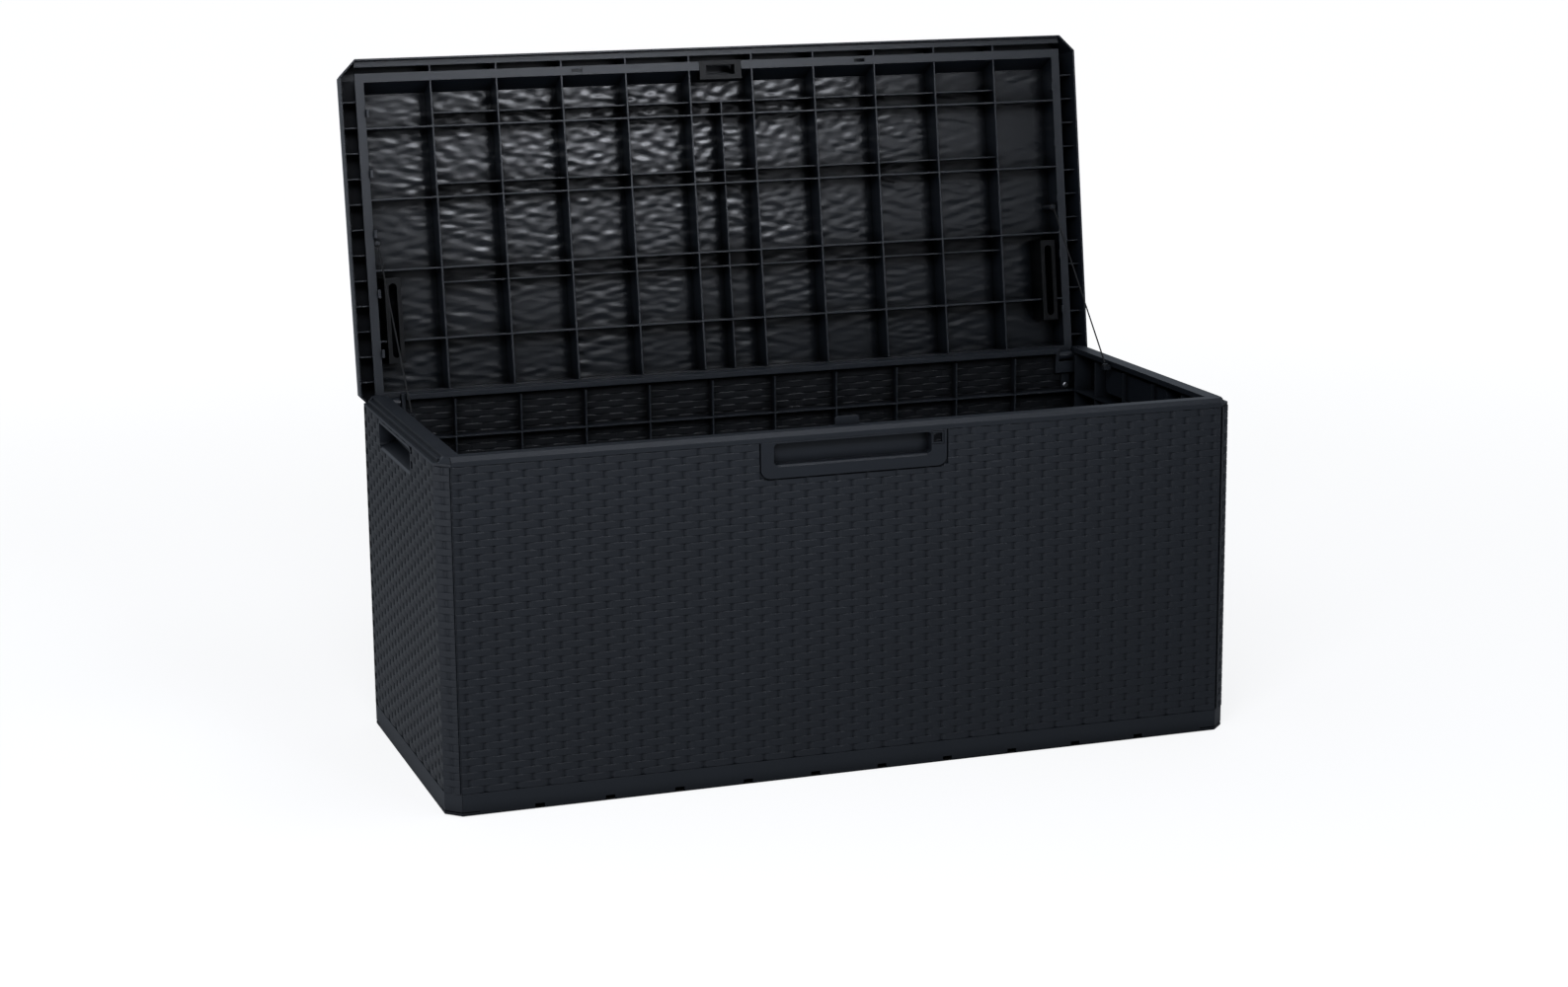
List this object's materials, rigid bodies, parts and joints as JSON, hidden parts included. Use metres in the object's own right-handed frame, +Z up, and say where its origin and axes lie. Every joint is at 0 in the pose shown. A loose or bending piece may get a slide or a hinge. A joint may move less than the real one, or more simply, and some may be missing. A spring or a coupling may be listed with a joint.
{
  "type": "deck storage box",
  "caption": "Rectangular outdoor storage box with woven-look moulded walls, recessed grips and a ribbed lid that swings back on corner hinges and is held by cord stays.",
  "frame": {"origin": "middle of the box's underside, on the floor it stands on", "axes": "+X along the box to the right as seen from the front, -Y out of the front, +Z up"},
  "size_m": [1.2, 0.6314, 1.0041],
  "materials": {
    "wall_plastic": "satin moulded",
    "grip_plastic": "smooth moulded",
    "lid_plastic": "smooth moulded",
    "zinc_steel": "zinc plated",
    "stay_cord": "braided cord"
  },
  "bodies": {
    "box": {"base_panel": "wall_plastic", "front_panel": "wall_plastic", "back_panel": "wall_plastic", "left_panel": "wall_plastic", "right_panel": "wall_plastic", "front_grip": "grip_plastic", "left_grip": "grip_plastic", "right_grip": "grip_plastic", "rim_catch": "wall_plastic", "left_hinge_bracket": "wall_plastic", "right_hinge_bracket": "wall_plastic", "left_hinge_pin": "zinc_steel", "right_hinge_pin": "zinc_steel", "hinge_screws": "zinc_steel", "left_box_cord_tab": "wall_plastic", "right_box_cord_tab": "wall_plastic"},
    "lid": {"lid_shell": "lid_plastic", "lid_latch": "lid_plastic", "lid_clips": "lid_plastic", "left_hinge_arm": "lid_plastic", "right_hinge_arm": "lid_plastic", "left_stay_rail": "lid_plastic", "right_stay_rail": "lid_plastic", "left_lid_cord_peg": "lid_plastic", "right_lid_cord_peg": "lid_plastic", "left_stay_cord": "stay_cord", "right_stay_cord": "stay_cord"}
  },
  "joints": [
    {"name": "lid_hinge", "type": "hinge", "parent": "box", "child": "lid", "pos_m": [0, 0.25, 0.493], "axis": [1, 0, 0], "range_deg": [0, 97.8], "deforming": ["left_stay_cord", "right_stay_cord"]}
  ]
}
